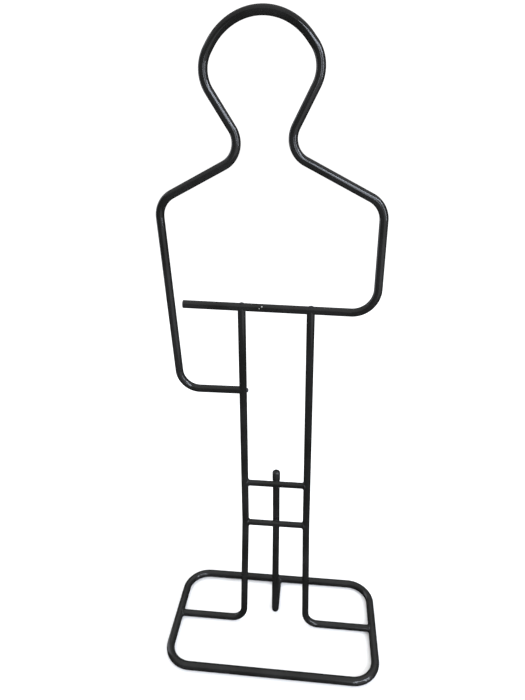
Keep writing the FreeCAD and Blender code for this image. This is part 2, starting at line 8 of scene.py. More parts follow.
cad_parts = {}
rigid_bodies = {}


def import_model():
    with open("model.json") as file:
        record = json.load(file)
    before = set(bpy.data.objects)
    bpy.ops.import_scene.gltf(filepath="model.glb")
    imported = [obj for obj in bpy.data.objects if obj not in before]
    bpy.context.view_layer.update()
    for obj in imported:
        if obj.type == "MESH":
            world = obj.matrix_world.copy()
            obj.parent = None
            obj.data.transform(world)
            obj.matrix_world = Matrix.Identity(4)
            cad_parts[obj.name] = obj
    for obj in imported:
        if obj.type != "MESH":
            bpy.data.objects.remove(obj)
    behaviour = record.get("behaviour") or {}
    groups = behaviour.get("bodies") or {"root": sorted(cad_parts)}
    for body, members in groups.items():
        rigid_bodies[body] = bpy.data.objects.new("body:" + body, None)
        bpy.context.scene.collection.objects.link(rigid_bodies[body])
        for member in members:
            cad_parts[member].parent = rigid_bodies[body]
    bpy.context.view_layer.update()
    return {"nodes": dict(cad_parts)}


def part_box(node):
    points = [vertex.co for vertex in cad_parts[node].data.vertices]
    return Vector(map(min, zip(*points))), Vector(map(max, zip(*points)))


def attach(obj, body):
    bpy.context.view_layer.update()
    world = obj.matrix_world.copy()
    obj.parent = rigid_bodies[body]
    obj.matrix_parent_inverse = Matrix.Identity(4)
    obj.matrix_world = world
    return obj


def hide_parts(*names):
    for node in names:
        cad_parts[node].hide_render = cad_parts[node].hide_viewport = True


# Valet stand: a standing figure's outline in bent steel tube on a flat ring base.
# Metres, in the frame of the CAD: X along the shoulders, Y to the back, Z up from the floor.
for leftover in list(bpy.data.objects):
    bpy.data.objects.remove(leftover)
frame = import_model()
cad_nodes = frame["nodes"]
MM = 0.001

# ---------------------------------------------------------------------------------------
# Base ring
# Steel tube, 16 mm, bent to a rounded rectangle and butt welded at the back.
# Sprayed with black enamel after welding, so tube and welds share one skin.
# ---------------------------------------------------------------------------------------
RING_TUBE_D = 16 * MM
TUBE_WALL = 1.2 * MM
RING_CORNER_R = 48 * MM
ENAMEL_BLACK = "#151514"
ENAMEL_THIN = "#1e1e1e"         # where the coat is thinner and dries duller
DUST_GREY = "#5a5a58"
CHIP_AND_SPOT_GREY = "#9c9d99"         # grey primer where the coat is knocked off, also the grey of the pale spots on the trouser bar
ORANGE_PEEL = 2.4 * MM          # wave of a sprayed coat as it flows out
PEEL_HEIGHT = 0.014 * MM
GLOSS = 0.05                    # roughness of the coat
THICKNESS_PATCH = 70 * MM       # how far apart thin and thick patches of the coat are
GRIT = 0.9 * MM                 # dust nibs caught in the coat
GRIT_HEIGHT = 0.35              # of the orange peel's height
CHIP_SPACING = 34 * MM
CHIP_EDGE = (0.010, 0.016)      # bare inside and whole outside, of the spacing
CHIP_RAGGED = 0.012             # how far the grit pulls a chip's edge in, of the spacing
PALE_SPOT_EDGE = (0.4, 0.6)         # full grey inside and none outside, of a pale spot's radius
CHIP_AND_SPOT_ROUGHNESS = 0.5            # what a chip, and a pale spot, adds to the roughness
THIN_PATCH = (0.35, 0.68)       # of the patch noise, from black to thin coat
DULL_PATCH = (0.3, 0.7)         # of the patch noise, from glossiest to dullest
DULL_SPREAD = (0.85, 1.25)      # of the roughness, over those patches
DUST_MOST = 0.16                # of the grit on what faces straight up
DUST_SLOPE = 0.35               # how far up a face has to look for dust to lie on it
ENAMEL_IOR, ENAMEL_SPECULAR = 1.5, 0.5
RING_STEPS, RING_SIDES = 40, 48
SHARP_EDGE = math.radians(40)


def linear(colour):
    """An sRGB hex colour as linear RGBA."""
    channels = [int(colour[i:i + 2], 16) / 255 for i in (1, 3, 5)]
    return [c / 12.92 if c <= 0.04045 else ((c + 0.055) / 1.055) ** 2.4 for c in channels] + [1]


def add_node(tree, kind, settings=None, inputs=None):
    """A node with its settings and inputs: a value for a socket, or the output that feeds it."""
    node = tree.nodes.new(kind)
    for name, value in (settings or {}).items():
        setattr(node, name, value)
    for name, value in (inputs or {}).items():
        if isinstance(value, bpy.types.NodeSocket):
            tree.links.new(value, node.inputs[name])
        else:
            node.inputs[name].default_value = value
    return node


def enamelled_steel(name, peel_height, roughness, pale_spots=()):
    """Black stove enamel on steel: a glossy wet-looking film with faint orange peel, thin
    and thick patches, dust on what faces up, and a few chips down to the grey primer. Each
    of the pale spots is a pale grey mark with a ragged edge: its place and radius."""
    material = bpy.data.materials.new(name)
    material.use_nodes = True
    tree = material.node_tree
    surface = tree.nodes["Principled BSDF"]
    place = add_node(tree, "ShaderNodeTexCoord").outputs["Object"]
    patches = add_node(tree, "ShaderNodeTexNoise", inputs={
        "Vector": place, "Scale": 1 / THICKNESS_PATCH, "Detail": 3.0}).outputs["Fac"]
    patch_range = add_node(tree, "ShaderNodeMapRange", inputs={
        "Value": patches, "From Min": THIN_PATCH[0], "From Max": THIN_PATCH[1]})
    coat = add_node(tree, "ShaderNodeMix", {"data_type": "RGBA"}, {
        "Factor": patch_range.outputs["Result"], 6: linear(ENAMEL_BLACK), 7: linear(ENAMEL_THIN)})
    nibs = add_node(tree, "ShaderNodeTexNoise", inputs={
        "Vector": place, "Scale": 1 / GRIT, "Detail": 2.0}).outputs["Fac"]
    facing = add_node(tree, "ShaderNodeSeparateXYZ", inputs={
        0: add_node(tree, "ShaderNodeNewGeometry").outputs["Normal"]})
    upward = add_node(tree, "ShaderNodeMapRange", inputs={
        "Value": facing.outputs["Z"], "From Min": DUST_SLOPE, "From Max": 1.0,
        "To Max": DUST_MOST})
    dust = add_node(tree, "ShaderNodeMath", {"operation": "MULTIPLY"}, {
        0: upward.outputs["Result"], 1: nibs})
    dusty = add_node(tree, "ShaderNodeMix", {"data_type": "RGBA"}, {
        "Factor": dust.outputs[0], 6: coat.outputs[2], 7: linear(DUST_GREY)})
    cells = add_node(tree, "ShaderNodeTexVoronoi", inputs={
        "Vector": place, "Scale": 1 / CHIP_SPACING})
    ragged = add_node(tree, "ShaderNodeMath", {"operation": "MULTIPLY_ADD"}, {
        0: nibs, 1: CHIP_RAGGED, 2: cells.outputs["Distance"]})
    chips = add_node(tree, "ShaderNodeMapRange", inputs={
        "Value": ragged.outputs[0], "From Min": CHIP_EDGE[0], "From Max": CHIP_EDGE[1],
        "To Min": 1.0, "To Max": 0.0})
    chips_and_spots = chips.outputs["Result"]
    # pale grey spots painted at their places, each with a ragged edge
    for spot, spot_r in pale_spots:
        away = add_node(tree, "ShaderNodeVectorMath", {"operation": "DISTANCE"}, {
            0: place, 1: spot})
        spot_reach = add_node(tree, "ShaderNodeMath", {"operation": "MULTIPLY_ADD"}, {
            0: nibs, 1: -spot_r, 2: away.outputs["Value"]})
        pale_spot = add_node(tree, "ShaderNodeMapRange", inputs={
            "Value": spot_reach.outputs[0], "From Min": spot_r * PALE_SPOT_EDGE[0],
            "From Max": spot_r * PALE_SPOT_EDGE[1], "To Min": 1.0, "To Max": 0.0})
        chips_and_spots = add_node(tree, "ShaderNodeMath", {"operation": "MAXIMUM"}, {
            0: chips_and_spots, 1: pale_spot.outputs["Result"]}).outputs[0]
    chipped = add_node(tree, "ShaderNodeMix", {"data_type": "RGBA"}, {
        "Factor": chips_and_spots, 6: dusty.outputs[2], 7: linear(CHIP_AND_SPOT_GREY)})
    tree.links.new(chipped.outputs[2], surface.inputs["Base Color"])
    dullness = add_node(tree, "ShaderNodeMapRange", inputs={
        "Value": patches, "From Min": DULL_PATCH[0], "From Max": DULL_PATCH[1],
        "To Min": roughness * DULL_SPREAD[0], "To Max": roughness * DULL_SPREAD[1]})
    rough = add_node(tree, "ShaderNodeMath", {"operation": "ADD"}, {
        0: dullness.outputs["Result"], 1: dust.outputs[0]})
    marked_rough = add_node(tree, "ShaderNodeMath", {"operation": "MULTIPLY_ADD"}, {
        0: chips_and_spots, 1: CHIP_AND_SPOT_ROUGHNESS, 2: rough.outputs[0]})
    tree.links.new(marked_rough.outputs[0], surface.inputs["Roughness"])
    peel = add_node(tree, "ShaderNodeTexNoise", inputs={
        "Vector": place, "Scale": 1 / ORANGE_PEEL, "Detail": 1.0}).outputs["Fac"]
    waves = add_node(tree, "ShaderNodeBump", inputs={
        "Height": peel, "Strength": 1.0, "Distance": peel_height})
    grain = add_node(tree, "ShaderNodeBump", inputs={
        "Height": nibs, "Strength": 1.0, "Distance": peel_height * GRIT_HEIGHT,
        "Normal": waves.outputs["Normal"]})
    tree.links.new(grain.outputs["Normal"], surface.inputs["Normal"])
    surface.inputs["IOR"].default_value = ENAMEL_IOR
    surface.inputs["Specular IOR Level"].default_value = ENAMEL_SPECULAR
    return material


enamel = enamelled_steel("black_enamel_on_steel", PEEL_HEIGHT, GLOSS)


def sized_tree(name, sizes):
    """A geometry tree with a start shape, named sizes and a finish going in."""
    tree = bpy.data.node_groups.new(name, "GeometryNodeTree")
    sockets = {"Start": "Geometry", **sizes, "Finish": "Material"}
    for label, kind in sockets.items():
        tree.interface.new_socket(label, in_out="INPUT", socket_type="NodeSocket" + kind)
    tree.interface.new_socket("Shape", in_out="OUTPUT", socket_type="NodeSocketGeometry")
    return tree, add_node(tree, "NodeGroupInput").outputs


def close_tree(tree, shape, finish):
    """End a tree: smooth faces, real geometry, and the finish on it."""
    smooth = add_node(tree, "GeometryNodeSetShadeSmooth", inputs={0: shape})
    real = add_node(tree, "GeometryNodeRealizeInstances", inputs={0: smooth.outputs[0]})
    finished = add_node(tree, "GeometryNodeSetMaterial", inputs={
        0: real.outputs[0], "Material": finish})
    add_node(tree, "NodeGroupOutput", inputs={0: finished.outputs[0]})


def grow(tree, start_mesh, sizes, wall=0.0):
    """The plain mesh that a tree makes from a start mesh; wall hollows it inwards."""
    seed = bpy.data.objects.new("seed", start_mesh)
    bpy.context.scene.collection.objects.link(seed)
    modifier = seed.modifiers.new("tree", "NODES")
    modifier.node_group = tree
    for item in tree.interface.items_tree:
        if item.in_out == "INPUT" and item.name in sizes:
            modifier[item.identifier] = sizes[item.name]
    if wall:
        shell = seed.modifiers.new("wall", "SOLIDIFY")
        shell.thickness = wall
        shell.offset = -1
    mesh = bpy.data.meshes.new_from_object(
        seed.evaluated_get(bpy.context.evaluated_depsgraph_get()))
    bpy.data.objects.remove(seed)
    mesh.set_sharp_from_angle(angle=SHARP_EDGE)
    return mesh


def add_piece(name, mesh, slot, *stands_for, finish=None):
    """A finished mesh as a piece of the stand, in place of the CAD nodes it stands for."""
    mesh.name = name
    if finish is not None:
        mesh.materials.clear()
        mesh.materials.append(finish)
    piece = bpy.data.objects.new(name, mesh)
    bpy.context.scene.collection.objects.link(piece)
    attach(piece, "root")
    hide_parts(*stands_for)


def bend_line(points, closed):
    """A tube's corner points, each (x, y, z, bend radius), as a mesh of edges."""
    mesh = bpy.data.meshes.new("bend_line")
    edges = [(i, i + 1) for i in range(len(points) - 1)]
    if closed:
        edges.append((len(points) - 1, 0))
    mesh.from_pydata([point[:3] for point in points], edges, [])
    radius = mesh.attributes.new("bend_radius", "FLOAT", "POINT")
    for item, point in zip(radius.data, points):
        item.value = point[3]
    return mesh


# A bender leaves straight runs joined by arcs, and the section stays round along both.
bent_tube, given = sized_tree("bent_tube", {"Tube diameter": "Float", "Steps in a bend": "Int",
                                            "Sides": "Int"})
corner_curve = add_node(bent_tube, "GeometryNodeMeshToCurve", inputs={0: given["Start"]})
radius_named = add_node(bent_tube, "GeometryNodeInputNamedAttribute", {"data_type": "FLOAT"}, {
    "Name": "bend_radius"})
bends = add_node(bent_tube, "GeometryNodeFilletCurve", {"mode": "POLY"}, {
    "Curve": corner_curve.outputs[0], "Count": given["Steps in a bend"],
    "Radius": radius_named.outputs["Attribute"]})
tube_r = add_node(bent_tube, "ShaderNodeMath", {"operation": "DIVIDE"}, {
    0: given["Tube diameter"], 1: 2.0})
section = add_node(bent_tube, "GeometryNodeCurvePrimitiveCircle", {"mode": "RADIUS"}, {
    "Resolution": given["Sides"], "Radius": tube_r.outputs[0]})
skin = add_node(bent_tube, "GeometryNodeCurveToMesh", inputs={
    "Curve": bends.outputs[0], "Profile Curve": section.outputs[0]})
close_tree(bent_tube, skin.outputs[0], given["Finish"])

_, ring_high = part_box("base_ring")
ring_r = RING_TUBE_D / 2
ring_x, ring_y = ring_high.x - ring_r, ring_high.y - ring_r
ring_corners = [(x * ring_x, y * ring_y, ring_r, RING_CORNER_R)
                for x, y in ((1, 1), (1, -1), (-1, -1), (-1, 1))]
ring_mesh = grow(bent_tube, bend_line(ring_corners, True), {
    "Tube diameter": RING_TUBE_D, "Steps in a bend": RING_STEPS, "Sides": RING_SIDES,
    "Finish": enamel}, wall=TUBE_WALL)
add_piece("base_ring_tube", ring_mesh, "enamelled_tube", "base_ring")

# ---------------------------------------------------------------------------------------
# Posts, crossbars and rear brace
# 14 mm posts bent at foot and knee, 12 mm crossbars coped between them, and a 14 mm brace
# behind, all welded before spraying. Their coped tubes are shown as they were cut.
# ---------------------------------------------------------------------------------------
FRAME_TUBE_D = 14 * MM
CROSS_TUBE_D = 12 * MM
for name in ("left_post", "right_post", "upper_crossbar", "lower_crossbar", "rear_brace"):
    cad_nodes[name].data.materials[0] = enamel

# ---------------------------------------------------------------------------------------
# Welds
# Beads run by hand round each joint, in overlapping ripples with a few lumps, and sprayed
# over with the same black enamel, which pools between the ripples.
# ---------------------------------------------------------------------------------------
BEAD_R = 2.2 * MM
SEAM_BEAD_R = 1.4 * MM
RIPPLE_PITCH = 1.8 * MM
RIPPLE_HEIGHT = 0.30            # of the bead's own radius
RIPPLE_HOLLOW = 0.74            # of the bead's radius, between two crests
RIPPLE_POWER = 1.7              # how steeply a crest ends
RIPPLE_STEPS, BEAD_SIDES = 8, 14
LUMP_SIZE, LUMP_HEIGHT = 3 * MM, 0.45 * MM
LUMP_RANGE = (0.25, 0.75)       # of the lump noise, from deepest to highest
WELD_PEEL_HEIGHT, WELD_GLOSS = 0.05 * MM, 0.2
FLOOR_GAP = 0.4 * MM

weld_enamel = enamelled_steel("black_enamel_over_weld", WELD_PEEL_HEIGHT, WELD_GLOSS)
for name in ("upper_lap_weld", "lower_lap_weld"):
    cad_nodes[name].data.materials[0] = weld_enamel

# The bead's path lies where a tube's end is coped to the side of its host tube: a circle of
# the tube's radius, lifted off the host's axis to the host's surface.
weld_bead, given = sized_tree("rippled_weld_bead", {
    "Joint radius": "Float", "Host radius": "Float", "Host offset": "Float",
    "Bead radius": "Float", "Ripples": "Int", "Ripple height": "Float",
    "Lump height": "Float", "Seed": "Int"})
steps = add_node(weld_bead, "ShaderNodeMath", {"operation": "MULTIPLY"}, {
    0: given["Ripples"], 1: RIPPLE_STEPS})
circle = add_node(weld_bead, "GeometryNodeCurvePrimitiveCircle", {"mode": "RADIUS"}, {
    "Resolution": steps.outputs[0], "Radius": given["Joint radius"]})
spot = add_node(weld_bead, "ShaderNodeSeparateXYZ", inputs={
    0: add_node(weld_bead, "GeometryNodeInputPosition").outputs[0]})
across = add_node(weld_bead, "ShaderNodeMath", {"operation": "SUBTRACT"}, {
    0: spot.outputs["Y"], 1: given["Host offset"]})
across_sq = add_node(weld_bead, "ShaderNodeMath", {"operation": "MULTIPLY"}, {
    0: across.outputs[0], 1: across.outputs[0]})
host_sq = add_node(weld_bead, "ShaderNodeMath", {"operation": "MULTIPLY"}, {
    0: given["Host radius"], 1: given["Host radius"]})
left_over = add_node(weld_bead, "ShaderNodeMath", {"operation": "SUBTRACT"}, {
    0: host_sq.outputs[0], 1: across_sq.outputs[0]})
above_zero = add_node(weld_bead, "ShaderNodeMath", {"operation": "MAXIMUM"}, {
    0: left_over.outputs[0], 1: 0.0})
lift = add_node(weld_bead, "ShaderNodeMath", {"operation": "SQRT"}, {0: above_zero.outputs[0]})
raised = add_node(weld_bead, "ShaderNodeCombineXYZ", inputs={"Z": lift.outputs[0]})
path = add_node(weld_bead, "GeometryNodeSetPosition", inputs={
    "Geometry": circle.outputs[0], "Offset": raised.outputs[0]})
travel = add_node(weld_bead, "ShaderNodeMath", {"operation": "MULTIPLY"}, {
    0: add_node(weld_bead, "GeometryNodeSplineParameter").outputs["Factor"],
    1: given["Ripples"]})
ripple = add_node(weld_bead, "ShaderNodeMath", {"operation": "FRACT"}, {0: travel.outputs[0]})
crest = add_node(weld_bead, "ShaderNodeMath", {"operation": "POWER"}, {
    0: ripple.outputs[0], 1: RIPPLE_POWER})
bead_scale = add_node(weld_bead, "ShaderNodeMath", {"operation": "MULTIPLY_ADD"}, {
    0: crest.outputs[0], 1: given["Ripple height"], 2: RIPPLE_HOLLOW})
rippled = add_node(weld_bead, "GeometryNodeSetCurveRadius", inputs={
    "Curve": path.outputs[0], "Radius": bead_scale.outputs[0]})
bead_section = add_node(weld_bead, "GeometryNodeCurvePrimitiveCircle", {"mode": "RADIUS"}, {
    "Resolution": BEAD_SIDES, "Radius": given["Bead radius"]})
bead = add_node(weld_bead, "GeometryNodeCurveToMesh", inputs={
    "Curve": rippled.outputs[0], "Profile Curve": bead_section.outputs[0]})
lumps = add_node(weld_bead, "ShaderNodeTexNoise", {"noise_dimensions": "4D"}, {
    "W": given["Seed"], "Scale": 1 / LUMP_SIZE, "Detail": 2.0})
lump_depth = add_node(weld_bead, "ShaderNodeMapRange", inputs={
    "Value": lumps.outputs["Fac"], "From Min": LUMP_RANGE[0], "From Max": LUMP_RANGE[1],
    "To Min": -1.0, "To Max": 0.0})
lump_scaled = add_node(weld_bead, "ShaderNodeMath", {"operation": "MULTIPLY"}, {
    0: lump_depth.outputs["Result"], 1: given["Lump height"]})
lump_offset = add_node(weld_bead, "ShaderNodeVectorMath", {"operation": "SCALE"}, {
    0: add_node(weld_bead, "GeometryNodeInputNormal").outputs[0],
    "Scale": lump_scaled.outputs[0]})
lumpy = add_node(weld_bead, "GeometryNodeSetPosition", inputs={
    "Geometry": bead.outputs[0], "Offset": lump_offset.outputs[0]})
close_tree(weld_bead, lumpy.outputs[0], given["Finish"])


def lay_bead(name, joint_d, host_d, host_offset, bead_r, centre, out, host_axis, seed):
    """One bead: out points from the host tube along the tube that is welded to it."""
    mesh = grow(weld_bead, bpy.data.meshes.new("no_start"), {
        "Joint radius": joint_d / 2, "Host radius": host_d / 2, "Host offset": host_offset,
        "Bead radius": bead_r, "Ripples": round(math.pi * joint_d / RIPPLE_PITCH),
        "Ripple height": RIPPLE_HEIGHT, "Lump height": LUMP_HEIGHT, "Seed": seed,
        "Finish": weld_enamel})
    out, host_axis = Vector(out), Vector(host_axis)
    turn = Matrix((host_axis, out.cross(host_axis), out)).transposed().to_4x4()
    mesh.transform(Matrix.Translation(centre) @ turn)
    for vertex in mesh.vertices:
        vertex.co.z = max(vertex.co.z, FLOOR_GAP)
    add_piece(name + "_bead", mesh, "enamelled_weld", name)


seed = 0
for level in ("upper", "lower"):
    for side, hand in ((-1, "left"), (1, "right")):
        low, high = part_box(f"{level}_{hand}_weld")
        centre = (low + high) / 2 + Vector((side * FRAME_TUBE_D / 2, 0, 0))
        seed += 1
        lay_bead(f"{level}_{hand}_weld", CROSS_TUBE_D, FRAME_TUBE_D, 0.0, BEAD_R, centre,
                 (-side, 0, 0), (0, 0, 1), seed)
tube_step = (RING_TUBE_D - FRAME_TUBE_D) / 2
for side, hand in ((-1, "left"), (1, "right")):
    low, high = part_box(f"{hand}_foot_weld")
    centre = Vector((side * ring_x, (low.y + high.y) / 2, FRAME_TUBE_D / 2))
    seed += 1
    lay_bead(f"{hand}_foot_weld", FRAME_TUBE_D, RING_TUBE_D, -side * tube_step, BEAD_R, centre,
             (-side, 0, 0), (0, 1, 0), seed)
lay_bead("brace_ring_weld", FRAME_TUBE_D, RING_TUBE_D, tube_step, BEAD_R,
         Vector((0, ring_y, FRAME_TUBE_D / 2)), (0, -1, 0), (1, 0, 0), seed + 1)
lay_bead("base_seam_weld", RING_TUBE_D, 0.0, 0.0, SEAM_BEAD_R, Vector((0, ring_y, ring_r)),
         (1, 0, 0), (0, 1, 0), seed + 2)

# ---------------------------------------------------------------------------------------
# Cap on the rear brace
# A thimble of dipped soft PVC, pushed down over the weld behind the upper crossbar.
# Dipping leaves a rounded dome, a thick rolled lip and a soft sheen.
# ---------------------------------------------------------------------------------------
CAP_WALL = 0.7 * MM
CAP_DOME = 5.5 * MM
CAP_LIP = CAP_WALL * 0.4        # height of the rolled lip's half round
CAP_RINGS = (0.12, 0.35, 0.65, 0.9)     # rings of points up the skirt
LIP_STEPS, DOME_STEPS = 8, 14
CAP_SQUEEZE = 0.02 * MM         # room left between skirt and crossbar
CAP_IOR = 1.53
CAP_SHARP = math.radians(50)
LATHE_STEPS = 56
MERGE = 0.002 * MM


def lathe(profile):
    """A closed mesh turned about Z from (radius, height) points that start and end on it."""
    shape = bmesh.new()
    points = [shape.verts.new((radius, 0, height)) for radius, height in profile]
    edges = [shape.edges.new(pair) for pair in zip(points, points[1:])]
    bmesh.ops.spin(shape, geom=points + edges, axis=(0, 0, 1), cent=(0, 0, 0),
                   angle=math.tau, steps=LATHE_STEPS, use_merge=True)
    bmesh.ops.remove_doubles(shape, verts=shape.verts, dist=MERGE)
    bmesh.ops.recalc_face_normals(shape, faces=shape.faces)
    for face in shape.faces:
        face.smooth = True
    mesh = bpy.data.meshes.new("turned")
    shape.to_mesh(mesh)
    shape.free()
    return mesh


def rounded(centre_r, centre_z, radius_r, radius_z, start, end, steps):
    """Points of an elliptical arc in a lathe profile, angles in degrees from outwards."""
    turns = [math.radians(start + (end - start) * i / steps) for i in range(steps + 1)]
    return [(centre_r + radius_r * math.cos(t), centre_z + radius_z * math.sin(t))
            for t in turns]


def mottled(name, colours, cloud, grain, relief, rough, rough_by="cloud", ior=None, metallic=0.0):
    """A surface clouded between two colours and raised in a fine grain. Cloud and grain are
    each a size and a detail, rough is the least and most roughness."""
    material = bpy.data.materials.new(name)
    material.use_nodes = True
    tree = material.node_tree
    surface = tree.nodes["Principled BSDF"]
    place = add_node(tree, "ShaderNodeTexCoord").outputs["Object"]
    noise = {label: add_node(tree, "ShaderNodeTexNoise", inputs={
        "Vector": place, "Scale": 1 / size, "Detail": detail}).outputs["Fac"]
        for label, (size, detail) in (("cloud", cloud), ("grain", grain))}
    colour = add_node(tree, "ShaderNodeMix", {"data_type": "RGBA"}, {
        "Factor": noise["cloud"], 6: linear(colours[0]), 7: linear(colours[1])})
    roughness = add_node(tree, "ShaderNodeMapRange", inputs={
        "Value": noise[rough_by], "To Min": rough[0], "To Max": rough[1]})
    bump = add_node(tree, "ShaderNodeBump", inputs={
        "Height": noise["grain"], "Distance": relief})
    tree.links.new(colour.outputs[2], surface.inputs["Base Color"])
    tree.links.new(roughness.outputs["Result"], surface.inputs["Roughness"])
    tree.links.new(bump.outputs["Normal"], surface.inputs["Normal"])
    surface.inputs["Metallic"].default_value = metallic
    if ior is not None:
        surface.inputs["IOR"].default_value = ior
    return material


# soft PVC that has bloomed a little, between shiny and satin
vinyl = mottled("black_dipped_pvc", ("#151515", "#252524"), (5 * MM, 3.0), (0.6 * MM, 2.0),
                0.02 * MM, (0.26, 0.44), ior=CAP_IOR)

cap_low, cap_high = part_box("brace_cap")
bar_low, bar_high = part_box("upper_crossbar")
cap_r = (cap_high.x - cap_low.x) / 2
bore_r = cap_r - CAP_WALL
skirt = cap_high.z - CAP_DOME - cap_low.z
cap_profile = (
    [(0, skirt), (bore_r, skirt), (bore_r, CAP_LIP)]
    + rounded((bore_r + cap_r) / 2, CAP_LIP, CAP_WALL / 2, CAP_LIP, 180, 360, LIP_STEPS)
    + [(cap_r, skirt * share) for share in CAP_RINGS]
    + rounded(0, skirt, cap_r, CAP_DOME, 0, 90, DOME_STEPS)[:-1] + [(0, skirt + CAP_DOME)])
cap_mesh = lathe(cap_profile)
cap_mesh.transform(Matrix.Translation(((cap_low.x + cap_high.x) / 2,
                                       (cap_low.y + cap_high.y) / 2, cap_low.z)))
# The soft skirt gives way where the crossbar's back presses into it.
bar_centre = (bar_low + bar_high) / 2
pressed_r = CROSS_TUBE_D / 2 + CAP_SQUEEZE
for vertex in cap_mesh.vertices:
    reach = Vector((vertex.co.y - bar_centre.y, vertex.co.z - bar_centre.z))
    if reach.length < pressed_r:
        vertex.co.y = bar_centre.y + math.sqrt(pressed_r ** 2 - reach.y ** 2)
cap_mesh.set_sharp_from_angle(angle=CAP_SHARP)
add_piece("brace_cap_dipped", cap_mesh, "black_plastic", "brace_cap", finish=vinyl)

# ---------------------------------------------------------------------------------------
# Figure tube
# One 14 mm tube bent nine times into trouser bar, right arm, shoulders, head, left arm and
# forearm. It starts coped to the left post and ends open, with a plug in it.
# ---------------------------------------------------------------------------------------
# corners in order from the forearm: x, z and bend radius on the centre-line, millimetres
FIGURE_BENDS = [
    (-60.03, 556.8, 0.0), (-174.9, 556.8, 36.7), (-189.3, 890.8, 39.5), (-44.9, 963.5, 36.3),
    (-116.0, 1075.0, 50.2), (-28.9, 1212.0, 87.5), (72.6, 1082.6, 50.2), (12.6, 967.6, 36.3),
    (167.8, 887.6, 39.5), (167.8, 711.0, 41.0), (-159.0, 719.37, 0.0)]
# two small pale grey spots painted on the front of the trouser bar, between the posts
BAR_PALE_SPOTS = [(Vector((-23.5, 26.3, 720.0)) * MM, 1.1 * MM),
              (Vector((-28.0, 25.1, 717.0)) * MM, 0.7 * MM)]
FIGURE_STEPS, FIGURE_SIDES = 36, 44

figure_low, figure_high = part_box("figure_tube")
figure_y = (figure_low.y + figure_high.y) / 2
figure_enamel = enamelled_steel("black_enamel_on_figure", PEEL_HEIGHT, GLOSS, BAR_PALE_SPOTS)
figure_corners = [(x * MM, figure_y, z * MM, radius * MM) for x, z, radius in FIGURE_BENDS]
figure_mesh = grow(bent_tube, bend_line(figure_corners, False), {
    "Tube diameter": FRAME_TUBE_D, "Steps in a bend": FIGURE_STEPS, "Sides": FIGURE_SIDES,
    "Finish": figure_enamel}, wall=TUBE_WALL)
# Cope of the forearm: its end follows the round of the post that it butts against.
post_x, forearm_z = figure_corners[0][0], figure_corners[0][2]
for vertex in figure_mesh.vertices:
    if abs(vertex.co.z - forearm_z) < FRAME_TUBE_D and vertex.co.x > post_x - FRAME_TUBE_D:
        depth = max((FRAME_TUBE_D / 2) ** 2 - (vertex.co.y - figure_y) ** 2, 0)
        vertex.co.x = min(vertex.co.x, post_x - math.sqrt(depth))
add_piece("figure_bent_tube", figure_mesh, "enamelled_tube", "figure_tube")

# ---------------------------------------------------------------------------------------
# Screws
# Three black machine screws with a cross recess: two raised countersunk ones down through
# the trouser bar into the posts, and a pan head through the left post into the forearm.
# Steel, cold headed and rolled, blackened and oiled, so the recess edges shine a little.
# ---------------------------------------------------------------------------------------
SCREW_D = 5 * MM
THREAD_PITCH = 0.8 * MM
THREAD_DEPTH = 0.42 * MM
WAIST_HEAD_D, WAIST_CONE, WAIST_DOME = 8.4 * MM, 1.5 * MM, 1.3 * MM
WAIST_THREAD = 16 * MM
WAIST_RIM = (0.05 * MM, 0.06 * MM)      # how far the cone stops short of the head's edge
PAN_HEAD_D, PAN_HEIGHT = 8 * MM, 3 * MM
PAN_EDGE_R, PAN_EDGE_HEIGHT = PAN_HEIGHT * 0.45, PAN_HEIGHT * 0.42
PAN_EDGE_TURN = 62              # degrees of the rounded edge
PAN_CROWN = (0.34, 0.975)       # where the crown goes flat, of the head's radius and height
ARM_THREAD = 16 * MM
RECESS_LENGTH, RECESS_WIDTH, RECESS_DEPTH = 4.4 * MM, 1.2 * MM, 1.6 * MM
RECESS_STRAIGHT = 0.3           # of the depth, before the cross tapers
RECESS_TAPER = 0.72             # of the cross's size, at its floor
TIP_CHAMFER = 0.5 * MM
RIDGE_CENTRE, RIDGE_R = THREAD_DEPTH * 0.4, THREAD_DEPTH * 0.6
RIDGE_SIDES, THREAD_STEPS = 6, 24
POST_LEAN = Vector((3.0, 0, 465.8)).normalized()    # the right post's lean, towards the left

# oxide film on steel, with an oily sheen that comes and goes
blackened = mottled("blackened_steel", ("#3a3a3d", "#6c6c70"), (1.5 * MM, 4.0), (0.25 * MM, 1.0),
                    0.01 * MM, (0.28, 0.5), metallic=0.8)

# A rolled thread is a ridge that climbs the shank by its pitch at every turn.
thread_tree, given = sized_tree("rolled_thread", {
    "Turns": "Float", "Thread radius": "Float", "Thread length": "Float",
    "Ridge radius": "Float", "Steps": "Int"})
helix = add_node(thread_tree, "GeometryNodeCurveSpiral", inputs={
    "Resolution": given["Steps"], "Rotations": given["Turns"],
    "Start Radius": given["Thread radius"], "End Radius": given["Thread radius"],
    "Height": given["Thread length"]})
ridge = add_node(thread_tree, "GeometryNodeCurvePrimitiveCircle", {"mode": "RADIUS"}, {
    "Resolution": RIDGE_SIDES, "Radius": given["Ridge radius"]})
wound = add_node(thread_tree, "GeometryNodeCurveToMesh", inputs={
    "Curve": helix.outputs[0], "Profile Curve": ridge.outputs[0], "Fill Caps": True})
threaded = add_node(thread_tree, "GeometryNodeJoinGeometry", inputs={0: wound.outputs[0]})
thread_tree.links.new(given["Start"], threaded.inputs[0])
close_tree(thread_tree, threaded.outputs[0], given["Finish"])


